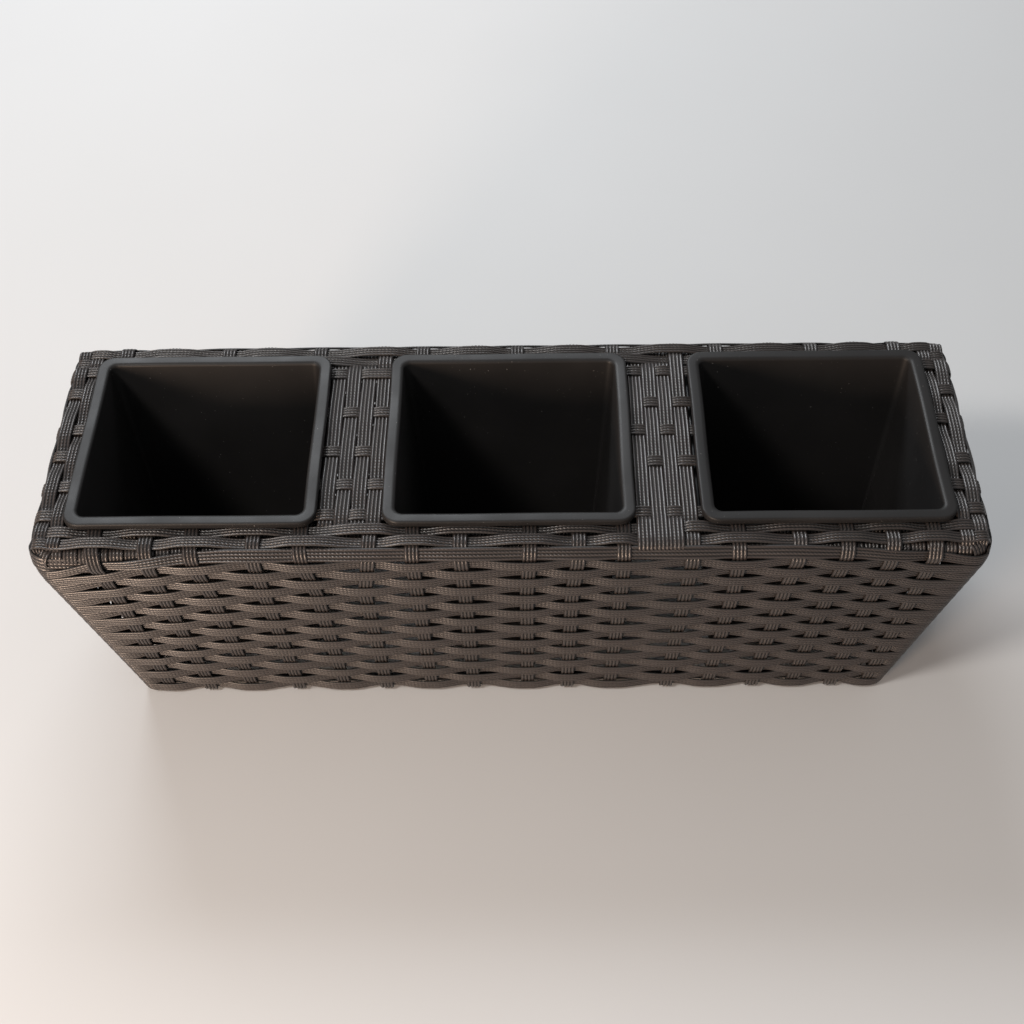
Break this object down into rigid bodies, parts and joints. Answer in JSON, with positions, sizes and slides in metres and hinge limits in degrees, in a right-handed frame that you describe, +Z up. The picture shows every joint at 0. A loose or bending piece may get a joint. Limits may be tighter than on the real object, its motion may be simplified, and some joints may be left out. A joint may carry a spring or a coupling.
{
  "type": "flower box",
  "caption": "Long tapered flower box woven from flat strand on a steel frame, with square plastic pots that hang in it by their rims and lift out.",
  "frame": {"origin": "on the ground under the middle of the box", "axes": "+X along the box to the right seen from the front, +Y from front to back, +Z up"},
  "size_m": [0.6052, 0.1956, 0.1832],
  "materials": {
    "strand": "ribbed extruded strand, charcoal brown, low sheen",
    "steel": "black powder coat",
    "pot": "moulded dark grey plastic, satin",
    "glide": "moulded black plastic"
  },
  "bodies": {
    "planter": {"weft_row_01": "strand", "weft_row_02": "strand", "weft_row_03": "strand", "weft_row_04": "strand", "weft_row_05": "strand", "weft_row_06": "strand", "weft_row_07": "strand", "weft_row_08": "strand", "weft_row_09": "strand", "weft_row_10": "strand", "weft_row_11": "strand", "weft_row_12": "strand", "weft_row_13": "strand", "weft_row_14": "strand", "weft_row_15": "strand", "weft_row_16": "strand", "weft_row_17": "strand", "weft_row_18": "strand", "top_strand_front_outer": "strand", "top_strand_front_inner": "strand", "top_strand_back_outer": "strand", "top_strand_back_inner": "strand", "top_strand_right_outer": "strand", "top_strand_right_inner": "strand", "top_strand_left_outer": "strand", "top_strand_left_inner": "strand", "stakes_front": "strand", "stakes_back": "strand", "stakes_right": "strand", "stakes_left": "strand", "rail_winding_front": "strand", "rail_winding_back": "strand", "rail_winding_right": "strand", "rail_winding_left": "strand", "divider_weave_1": "strand", "divider_weave_2": "strand", "top_rail": "steel", "inner_rod_front": "steel", "inner_rod_back": "steel", "cross_rod_1": "steel", "cross_rod_2": "steel", "cross_rod_3": "steel", "cross_rod_4": "steel", "cross_rod_5": "steel", "cross_rod_6": "steel", "corner_post_front_left": "steel", "corner_post_front_right": "steel", "corner_post_back_right": "steel", "corner_post_back_left": "steel", "bottom_rod_front": "steel", "bottom_rod_back": "steel", "bottom_rod_right": "steel", "bottom_rod_left": "steel", "glide_front_left": "glide", "glide_front_right": "glide", "glide_back_right": "glide", "glide_back_left": "glide"},
    "pot_left": {"pot_left": "pot"},
    "pot_middle": {"pot_middle": "pot"},
    "pot_right": {"pot_right": "pot"}
  },
  "joints": [
    {"name": "pot_left_lift", "type": "slide", "parent": "planter", "child": "pot_left", "axis": [0, 0, 1], "range_m": [0, 0.16]},
    {"name": "pot_middle_lift", "type": "slide", "parent": "planter", "child": "pot_middle", "axis": [0, 0, 1], "range_m": [0, 0.16]},
    {"name": "pot_right_lift", "type": "slide", "parent": "planter", "child": "pot_right", "axis": [0, 0, 1], "range_m": [0, 0.16]}
  ]
}
